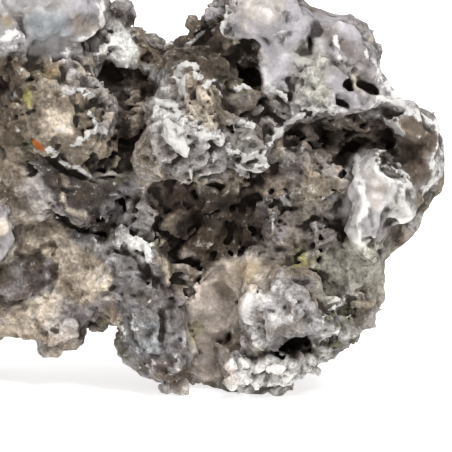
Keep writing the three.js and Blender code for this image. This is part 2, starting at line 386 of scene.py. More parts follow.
crags = {"swell": 1.5, "large": 3.0, "middle": 2.3, "small": 1.3, "cracks": 2.4, "pits": 0.8}
bent = np.stack([(1.6 * noise(11, 61 + i) + 0.7 * noise(4.5, 64 + i))[bandAt] for i in range(3)], -1)
rough = calm[bandAt]
layered = (1, 1, 0.6)
relief = crags["swell"] * (0.75 - np.abs(noise(31, 1)[bandAt]))
relief += crags["large"] * chips(19, 71) + crags["middle"] * chips(9.5, 72, layered) \
    + crags["small"] * chips(4.8, 73, layered)
cracked = 1 - step(np.abs(noise(21, 5)[bandAt]), 0.02, 0.12)
relief -= crags["cracks"] * cracked * step(noise(33, 6)[bandAt], 0.1, 0.8)
relief -= crags["pits"] * step(noise(7.5, 7)[bandAt], 1.0, 1.8)
# nothing grows past the solid's box
room = np.minimum(places - boxLow, boxHigh - places)[:, :2].min(1)
room = np.minimum(room, boxHigh[2] - places[:, 2])
depth[bandAt] -= np.where(relief > 0, relief * step(room, 0, 7), relief) * rough
del relief, bent
print("crags worn in")

face = faceDepth(depth)


# a chain of round beads along places on the face: lift moves it out of the face, in pixels
def chain(places, radius, lift):
    points, radii = [], []
    for place in places:
        u, v = place[:2]
        wide = place[2] if len(place) > 2 else radius
        away = face[cellOf(u, v)] - lift * look["pixel"]
        points.append(toSpace(u, v, away))
        radii.append(wide * look["pixel"])
    return np.array(points), np.array(radii)


def beadDistance(points, radii, blend):
    pad = radii.max() + blend + 3
    low = np.clip(np.floor((points.min(0) - pad) / voxel).astype(int) - gridLow, 0, shape - 1)
    high = np.clip(np.ceil((points.max(0) + pad) / voxel).astype(int) - gridLow + 1, 1, shape)
    cut = tuple(slice(a, b) for a, b in zip(low, high))
    x, y, z = xs[cut[0]][:, None, None], ys[cut[1]][None, :, None], zs[cut[2]][None, None, :]
    total = None
    pairs = list(zip(points[:-1], points[1:], radii[:-1], radii[1:]))
    pairs = pairs or [(points[0], points[0], radii[0], radii[0])]
    for first, second, startRadius, endRadius in pairs:
        along = second - first
        length = max(along @ along, 1e-6)
        share = ((x - first[0]) * along[0] + (y - first[1]) * along[1] + (z - first[2]) * along[2]) / length
        share = np.clip(share, 0, 1)
        square = (x - first[0] - share * along[0]) ** 2 + (y - first[1] - share * along[1]) ** 2
        square = square + (z - first[2] - share * along[2]) ** 2
        gap = np.sqrt(square) - startRadius - share * (endRadius - startRadius)
        total = gap if total is None else np.minimum(total, gap)
    return cut, total


def softMin(a, b, blend):
    share = np.clip(0.5 + 0.5 * (b - a) / blend, 0, 1)
    return b * (1 - share) + a * share - blend * share * (1 - share)


# stands out of the face by tall pixels
def ridge(wide, tall, *places, blend=1.8):
    points, radii = chain(places, wide, min(tall - wide, 0.25 * wide))
    cut, gap = beadDistance(points, radii, blend)
    depth[cut] = softMin(depth[cut], gap, blend)


# sinks into the face by deep pixels
def groove(wide, deep, *places, blend=0.9):
    points, radii = chain(places, wide, wide - deep)
    cut, gap = beadDistance(points, radii, blend)
    depth[cut] = -softMin(-depth[cut], gap, blend)


# a hole that goes straight in
def pit(wide, deep, *places, blend=0.8):
    for place in places:
        inner, innerRadii = chain([place], wide * 0.75, -deep)
        outer, outerRadii = chain([place], wide, wide)
        points = np.concatenate([outer, inner])
        radii = np.concatenate([outerRadii, innerRadii * (outerRadii / (wide * look["pixel"]))])
        cut, gap = beadDistance(points, radii, blend)
        depth[cut] = -softMin(-depth[cut], gap, blend)


# goes right through, to trim the outline
def trim(wide, *places):
    points, radii = chain(places, wide, 0)
    for shift in range(-40, 90, 10):
        cut, gap = beadDistance(points - backward * shift, radii, 2)
        depth[cut] = -softMin(-depth[cut], gap, 2)


# fill the shoulder, trim the outline and the gaps beside the toe, fill the saddle and under the crown
ridge(14, 6, (346, 36), (364, 66), (385, 98), (410, 126), blend=4)
trim(11, (374, 18), (391, 50), (412, 82), (434, 107))
trim(9, (121, -9), (130, 1), (141, 13), (150, 24))
trim(14, (404, 296), (394, 318), (378, 346), (372, 360))
trim(8, (138, 385), (156, 383))
trim(7, (198, 391), (212, 392), (224, 397))
ridge(15, 2, (120, 42), (128, 55), blend=3)
ridge(9, 3, (34, 60), (62, 61), (90, 58), blend=3)
face = faceDepth(depth)
# right shoulder: slit, three pits, hollow under the white rim
groove(3, 8, (330, 62), (338, 68), (345, 73))
pit(6, 22, (347, 85), (353, 91, 5))
pit(5, 22, (366, 88), (372, 92, 6), (378, 96, 4))
pit(6, 20, (339, 104), (347, 106))
groove(6, 12, (376, 112), (388, 112), (398, 114))
ridge(3, 5, (370, 107), (380, 100), (388, 97), (400, 105), (415, 113))
pit(3, 10, (309, 44), (310, 50))
ridge(3, 4, (337, 36), (336, 48), (338, 60))
# peak: hollow with an overhanging rim, ribs on the dark flank
groove(12, 16, (236, 62), (244, 52), (252, 60), (254, 74), (246, 78))
ridge(3, 4, (226, 40), (240, 36), (254, 38), (264, 48), (266, 64), (265, 82))
ridge(2.5, 5, (225, 6), (226, 20), (223, 36))
groove(3, 6, (233, 0), (232, 18), (234, 34))
ridge(2.5, 5, (188, 44), (197, 34), (206, 24), (216, 18))
groove(5, 12, (186, 52), (198, 44), (210, 32), (216, 26))
ridge(5, 5, (190, 24), (198, 18), (206, 14))
groove(3, 7, (205, 52), (215, 48), (224, 52))
ridge(3, 4, (182, 66), (192, 66), (199, 73))
ridge(3, 5, (180, 74), (182, 86), (188, 92))
ridge(2.5, 5, (204, 82), (214, 88), (223, 95))
ridge(3, 4, (234, 88), (240, 83), (246, 87))
# saddle: dark ridge behind it, steps below
ridge(4, 4, (108, 4), (118, 10), (127, 14), (132, 21))
groove(3, 7, (102, 40), (104, 54), (108, 66))
groove(3, 6, (138, 44), (146, 50), (150, 60))
# crown: lobes and creases
groove(3, 6, (18, 48), (22, 34), (16, 18), (4, 6))
groove(3, 5, (42, 0), (46, 8), (52, 6))
groove(2.5, 5, (44, 50), (54, 52), (64, 49))
groove(2.5, 4, (66, 16), (70, 26), (66, 38), (72, 48))
groove(3, 7, (30, 60), (50, 59), (72, 60), (95, 64))
ridge(3, 4, (-2, 40), (8, 39), (18, 36))
ridge(3, 4, (80, 40), (88, 37), (94, 33))
ridge(3, 5, (98, 6), (100, 18), (101, 30))
ridge(3, 4, (97, 56), (101, 48), (103, 66))
# left boss: plates, rim, pits
groove(3, 7, (48, 78), (60, 82), (74, 80), (92, 78), (100, 80))
groove(3, 9, (92, 100), (104, 102), (112, 108), (110, 118))
ridge(3, 4, (93, 95), (106, 97), (115, 106), (112, 120), (104, 128))
groove(3, 8, (80, 108), (78, 120), (82, 132), (88, 138))
ridge(2.5, 4, (90, 116), (96, 126), (104, 134))
ridge(2, 4, (78, 142), (86, 138), (90, 130))
groove(2, 5, (77, 146), (86, 144), (92, 138))
ridge(3.5, 4, (22, 120), (30, 134), (45, 148), (60, 160), (76, 168), (94, 174), (108, 170), (113, 158))
groove(4, 8, (28, 148), (40, 158), (56, 168), (76, 177), (100, 181))
groove(4, 14, (120, 116), (124, 130), (122, 145), (116, 160))
groove(3, 8, (36, 76), (38, 92), (36, 108))
groove(4, 9, (10, 56), (12, 72), (10, 90), (18, 112))
groove(3, 7, (2, 86), (10, 108), (16, 130))
groove(3, 8, (0, 62), (6, 76), (4, 92))
# keel and the black gap under it
groove(4, 12, (24, 148), (30, 165), (34, 178))
groove(2.5, 9, (34, 178), (46, 194), (56, 208), (68, 228))
ridge(2, 2.5, (50, 178), (56, 188), (66, 200), (72, 212), (80, 219))
groove(6, 26, (88, 236), (100, 226), (112, 212), (124, 196), (131, 184))
groove(4, 20, (96, 240), (106, 236))
groove(1.6, 7, (127, 204), (122, 216), (118, 228))
ridge(5, 5, (134, 190), (128, 206), (124, 222))
ridge(4, 4, (146, 188), (144, 206), (146, 224))
# quartz block and the facets on the leg
ridge(6, 6, (124, 236), (134, 242), (146, 246), (148, 256))
pit(2, 6, (147, 236))
groove(2, 5, (112, 246), (126, 252), (136, 262), (142, 272))
ridge(4, 5, (161, 262), (165, 274), (169, 284))
pit(2.5, 9, (149, 276), (150, 284))
ridge(4, 4, (178, 270), (186, 274))
groove(3.4, 4, (116, 299), (128, 300), (142, 297))
ridge(3, 3.5, (128, 306), (142, 310), (156, 302))
ridge(4, 4.5, (154, 312), (152, 330), (156, 346), (165, 358), (172, 370))
ridge(4, 4.5, (166, 318), (166, 338), (171, 352), (177, 370))
groove(3.4, 2.6, (160, 316), (159, 336), (163, 350), (170, 366))
groove(3.4, 4, (174, 322), (175, 340), (180, 356))
ridge(4, 4, (182, 322), (186, 338), (183, 354))
groove(3.4, 5, (190, 326), (193, 344), (190, 362))
ridge(3, 3, (142, 286), (150, 292), (162, 296))
groove(3.4, 3, (128, 318), (134, 336), (142, 352))
# left plate: steps, joints, the notch beside the tooth
groove(3, 7, (-8, 308), (14, 300), (34, 290), (52, 280), (58, 268))
groove(3, 6, (0, 262), (20, 260), (40, 254), (56, 246))
groove(2, 4, (68, 282), (74, 294), (80, 300))
groove(4, 4, (44, 326), (70, 310), (96, 298), (116, 290))
groove(4, 12, (38, 331), (46, 330), (52, 332))
groove(1.8, 4, (10, 196), (24, 206), (40, 212), (54, 222))
groove(1.8, 4, (18, 224), (34, 230), (52, 236), (62, 246))
groove(2, 4, (4, 158), (14, 172), (12, 190))
groove(2, 5, (22, 238), (24, 252), (14, 262))
# centre boss and the horseshoe ledges beside it
ridge(4, 5, (147, 108), (156, 98), (168, 102), (176, 116), (180, 130))
groove(4, 8, (154, 110), (158, 118), (156, 126))
ridge(3.5, 4, (165, 122), (172, 136), (182, 154))
groove(2.5, 6, (160, 128), (166, 142), (174, 158))
ridge(3, 5, (196, 128), (210, 130), (222, 140), (228, 156))
groove(3, 8, (206, 140), (214, 150), (214, 164))
ridge(3, 4, (184, 92), (186, 108), (182, 120))
groove(2.5, 6, (196, 96), (200, 110), (198, 122))
ridge(3, 4, (208, 100), (214, 112), (218, 124))
groove(3, 9, (228, 108), (226, 122), (232, 132), (230, 146))
ridge(3, 5, (236, 151), (246, 156), (256, 152), (264, 160), (261, 169), (250, 171), (238, 165))
groove(3, 7, (244, 162), (254, 162))
ridge(5, 5, (240, 140), (250, 138), (258, 144))
ridge(3, 4, (240, 126), (250, 124))
groove(3, 9, (258, 119), (268, 117), (276, 120))
ridge(3, 5, (264, 154), (274, 140), (284, 126), (300, 112), (318, 108), (332, 112))
groove(2.6, 8, (150, 168), (166, 176), (184, 178), (204, 172))
# recess: flaky shelves and the brown dome
ridge(2.4, 5, (190, 180), (206, 184), (226, 182), (250, 186), (262, 192))
groove(2.4, 8, (194, 186), (214, 189), (236, 190), (256, 196))
ridge(2.2, 5, (196, 194), (216, 196), (236, 194), (250, 200))
groove(6, 16, (252, 200), (232, 206), (212, 208), (196, 222), (182, 240), (170, 254))
groove(4, 14, (160, 210), (162, 228), (160, 246))
ridge(7, 5, (168, 222), (176, 230), (172, 240))
ridge(9, 6, (182, 254), (198, 242), (214, 232))
groove(4, 12, (228, 226), (232, 240), (226, 250), (210, 256))
ridge(4, 5, (242, 226), (248, 236))
groove(4, 14, (206, 260), (222, 252), (238, 248), (250, 246))
ridge(3, 5, (278, 196), (284, 206), (282, 214))
groove(3, 10, (276, 214), (284, 218), (290, 212))
groove(3, 10, (262, 196), (274, 192), (284, 186))
ridge(3, 4, (256, 206), (266, 212), (276, 222))
groove(2.5, 7, (250, 214), (258, 226), (262, 240))
# niche: fissure, ledge
groove(2, 8, (243, 308), (236, 324), (228, 337), (218, 340))
pit(3, 9, (219, 339))
ridge(2.4, 4, (217, 344), (226, 351), (238, 357))
groove(2, 5, (180, 312), (188, 311))
# apron: knobs over the dark gap
ridge(15, 3, (252, 304), (276, 298), (302, 302), blend=4)
ridge(13, 3, (252, 326), (276, 324), (302, 318), blend=4)
for u, v, wide in [(242, 298, 6), (254, 292, 6), (250, 308, 6), (264, 312, 7), (246, 322, 7), (258, 328, 8),
                   (272, 324, 8), (286, 318, 8), (280, 304, 7), (294, 304, 7), (272, 290, 6), (288, 290, 6),
                   (300, 290, 6), (302, 318, 7), (244, 338, 6), (258, 342, 6), (274, 338, 6), (290, 332, 6),
                   (304, 330, 6), (312, 306, 6), (314, 322, 5)]:
    ridge(wide, 2.4, (u, v), blend=2.6)
groove(3, 7, (265, 288), (258, 296), (262, 304))
groove(2.5, 6, (280, 296), (288, 300), (296, 297))
groove(6, 22, (240, 352), (256, 356), (272, 352), (288, 346), (304, 342))
# crust along the foot of the apron
for u, v, wide in [(232, 368, 6), (234, 380, 7), (246, 362, 7), (246, 376, 8), (250, 386, 6), (260, 366, 7),
                   (262, 380, 7), (274, 366, 6), (276, 378, 7), (288, 364, 6), (290, 374, 7), (300, 360, 7),
                   (304, 370, 6), (314, 364, 6), (322, 358, 5), (318, 374, 4), (240, 388, 5), (270, 384, 5)]:
    ridge(wide, 4, (u, v), blend=0.8)
# lower right: ledges, the shadowed outcrop and mossy blocks
groove(3, 8, (350, 292), (364, 290), (378, 291))
ridge(4, 5, (356, 304), (366, 302), (378, 298))
groove(6, 14, (330, 314), (342, 310), (352, 306))
ridge(2, 4, (322, 310), (330, 301), (344, 294), (358, 286))
ridge(2, 4, (326, 318), (334, 306), (346, 299))
ridge(3, 5, (314, 332), (326, 328), (338, 326))
groove(3, 10, (316, 340), (328, 337), (340, 334))
ridge(2.4, 4, (312, 344), (322, 348), (334, 356))
groove(2.4, 6, (306, 350), (316, 356), (328, 364))
ridge(2.5, 3, (315, 224), (313, 246), (316, 268), (316, 290))
groove(2.5, 6, (322, 230), (322, 250), (320, 270))
ridge(2, 3, (350, 262), (356, 274), (352, 290))
groove(2.5, 6, (366, 256), (364, 268), (368, 276))
ridge(2.4, 3, (378, 246), (370, 262), (356, 280))
# tusk: central ridge, pocket with its rim, prongs, side pit
ridge(3, 3, (358, 160), (358, 185), (362, 202), (358, 226), (358, 242))
groove(5, 12, (380, 170), (390, 178), (402, 180))
ridge(2.4, 4, (372, 160), (377, 172), (386, 182), (400, 187), (410, 186))
ridge(2.4, 5, (380, 160), (388, 168), (402, 172), (409, 179))
groove(3, 7, (366, 238), (374, 234), (382, 238))
ridge(3, 4, (384, 214), (382, 226), (380, 234))
pit(5, 14, (394, 226), (396, 234))
groove(4, 14, (350, 218), (348, 230), (350, 242))
groove(5, 18, (338, 160), (336, 174), (336, 190))
groove(2.4, 5, (370, 212), (376, 222))
# cave: strata on its roof, lumps in its mouth
ridge(2.4, 4, (332, 122), (352, 126), (372, 134), (386, 142))
groove(2.2, 7, (330, 128), (350, 132), (370, 140), (384, 148))
ridge(2.4, 4, (340, 134), (356, 138), (372, 146))
groove(6, 20, (294, 130), (298, 142), (310, 150))
ridge(5, 5, (308, 128), (312, 140))
pit(4, 10, (324, 134))
groove(5, 18, (334, 148), (352, 150), (370, 152), (392, 152))
ridge(3, 4, (392, 122), (400, 126))
ridge(4, 4, (310, 162), (322, 166), (334, 162))
groove(3, 9, (306, 190), (316, 196), (328, 194))
ridge(4, 4, (306, 208), (316, 216), (328, 212))
ridge(4, 4, (326, 236), (336, 246))
print("face carved")

# everything bends a little, so that nothing runs straight
bandAt = np.nonzero(np.abs(depth) < 6)
places = placesAt(bandAt)
shift = np.stack([(0.8 * noise(8, 21 + i) + 0.45 * noise(3.6, 31 + i))[bandAt] for i in range(3)], -1)
depth[bandAt] = sampled(depth, places + stone["bend"] * shift)
bandAt = np.nonzero(np.abs(depth) < 2.5)
places = placesAt(bandAt).astype(np.float32)
bent = np.stack([(0.7 * noise(4.5, 67 + i))[bandAt] for i in range(3)], -1)
near = 1 - step((awayPlane[None] - onGrid(face))[bandAt], 8, 20)
grit = 0.75 * chips(3.3, 74, (1, 1, 0.7)) + 0.95 * chips(6.8, 75, layered)
grit = grit + 0.2 * noise(2.3, 42)[bandAt]
depth[bandAt] -= grit * np.clip(calm[bandAt] + 0.1, 0, 1) * (0.4 + 0.6 * near)
del bandAt, places, shift, bent, grit, near

# flat under the feet, inside the solid's box
depth = np.maximum(depth, -zs[None, None, :].astype(np.float32))
for axis, values in enumerate([xs, ys, zs]):
    depth = np.maximum(depth, shaped(np.maximum(boxLow[axis] - values, values - boxHigh[axis]), axis))
body = openvdb.FloatGrid(stone["reach"])
body.copyFromArray(depth, ijk=tuple(int(i) for i in gridLow))
body.transform = openvdb.createLinearTransform(voxel)
points, quads = body.convertToQuads(isovalue=0.0)
print("surface", len(points), "points")

# only the largest piece is kept
points = np.asarray(points, np.float64)
quads = np.asarray(quads, np.int64)
label = np.arange(len(points))
while True:
    lowest = label[quads].min(1)
    fresh = label.copy()
    np.minimum.at(fresh, quads.ravel(), np.repeat(lowest, 4))
    fresh = fresh[fresh]
    if np.array_equal(fresh, label):
        break
    label = fresh
names, counts = np.unique(label, return_counts=True)
keep = label == names[counts.argmax()]
quads = quads[keep[quads[:, 0]]]
order = np.cumsum(keep) - 1
points = points[keep]
quads = order[quads]
first, second, third, fourth = points[quads].transpose(1, 0, 2)
volume = np.einsum("ij,ij->i", first, np.cross(second, third) + np.cross(third, fourth)).sum()
if volume < 0:
    quads = quads[:, ::-1]
# the extremes meet the solid's box
spread = (boxHigh - boxLow) / (points.max(0) - points.min(0))
points = boxLow + (points - points.min(0)) * spread
print("kept piece fits by", spread.round(4))

mesh = bpy.data.meshes.new("stone")
mesh.from_pydata((points / 1000).tolist(), [], quads.tolist())
draft = bpy.data.objects.new("draft", mesh)
scene.collection.objects.link(draft)
u, v, away = toPicture(points)
row, column = cellOf(u, v)
face = faceDepth(depth)
unseen = step(away - face[row, column], 3, 12)
group = draft.vertex_groups.new(name="thin")
for level in range(5):
    chosen = np.nonzero(np.round(unseen * 4).astype(int) == level)[0]
    group.add(chosen.tolist(), level / 4, "REPLACE")
thin = draft.modifiers.new("thin", "DECIMATE")
thin.ratio = min(1.0, stone["firstTriangles"] / (2 * len(quads)))
thin.vertex_group = "thin"
thin.use_collapse_triangulate = True
bpy.context.view_layer.update()
left = len(draft.evaluated_get(bpy.context.evaluated_depsgraph_get()).data.polygons)
thinAgain = draft.modifiers.new("thinAgain", "DECIMATE")
thinAgain.ratio = min(1.0, stone["triangles"] / left)
thinAgain.use_collapse_triangulate = True
bpy.context.view_layer.update()
finished = bpy.data.meshes.new_from_object(draft.evaluated_get(bpy.context.evaluated_depsgraph_get()))
bpy.data.objects.remove(draft)
finished.name = "stoneSkin"
skin = bpy.data.objects.new("stoneSkin", finished)
scene.collection.objects.link(skin)
print("thinned to", len(finished.polygons), "triangles")

# what the paint needs to know about each point
count = len(finished.vertices)
flat = np.zeros(count * 3)
finished.vertices.foreach_get("co", flat)
flat = np.clip(flat.reshape(-1, 3), np.array(solidLow), np.array(solidHigh))
finished.vertices.foreach_set("co", flat.ravel())
points = flat * 1000
solid = (depth < 0).astype(np.float32)
probe = boxLow + (points - boxLow) / spread
closeFill = blurred(solid, 1.6)
nearFill = blurred(closeFill, 3.6)
farFill = blurred(nearFill, 7.5)
closeFill, nearFill, farFill = (sampled(fill, probe) for fill in [closeFill, nearFill, farFill])
fine = step(closeFill, 0.49, 0.62)
hollow = step(nearFill, 0.50, 0.70)
deep = step(farFill, 0.52, 0.76)
edge = step(1 - closeFill, 0.50, 0.66)
u, v, away = toPicture(points)
row, column = cellOf(u, v)
seen = 1 - step(away - face[row, column], 4, 14)


def at(canvas):
    return canvas[row, column] * seen


def fieldAt(spacing, seed):
    return sampled(noise(spacing, seed), probe)


# paint: first the same kinds of stone all over, then the patches of the face
cloud = fieldAt(38, 51)
patchy = fieldAt(16, 52)
mottled = fieldAt(7, 53)
tint = np.tile(palette["rock"], (count, 1))


def mix(colour, weight):
    global tint
    weight = np.clip(weight, 0, 1)[:, None]
    tint = tint * (1 - weight) + palette[colour] * weight


mix("skin", 0.7 * step(cloud + 0.4 * patchy, 0.2, 1.2))
mix("tan", 0.6 * step(fieldAt(30, 54) + 0.5 * patchy, 0.7, 1.5))
mix("slate", 0.7 * step(fieldAt(34, 55) - 0.3 * mottled, 0.6, 1.4))
mix("moss", 0.5 * step(fieldAt(24, 56) + 0.4 * mottled, 0.9, 1.7))
mix("cream", 0.5 * step(mottled + 0.5 * patchy, 1.0, 1.8))
# painted shade: the deepest hollows are darkened towards brown
mix("brown", 0.7 * deep)
marks = np.zeros((count, 3))
marks[:, 0] = 0.55 * step(fieldAt(20, 57) + 0.6 * fieldAt(6, 58), 0.9, 2.0) * (1 - hollow)

plateCorners = [(-80, 150), (20, 150), (68, 230), (106, 266), (122, 326), (60, 353), (-80, 345)]
bandCorners = [(-80, 262), (20, 258), (40, 252), (58, 262), (58, 280), (44, 290), (12, 308), (-80, 316)]
nicheCorners = [(172, 290), (216, 262), (258, 254), (262, 292), (240, 312), (222, 340), (230, 380),
                (190, 380)]
apronCorners = [(236, 284), (312, 276), (320, 300), (318, 330), (246, 346), (234, 320)]
bossCorners = [(146, 96), (176, 96), (224, 130), (226, 176), (170, 178), (146, 150)]
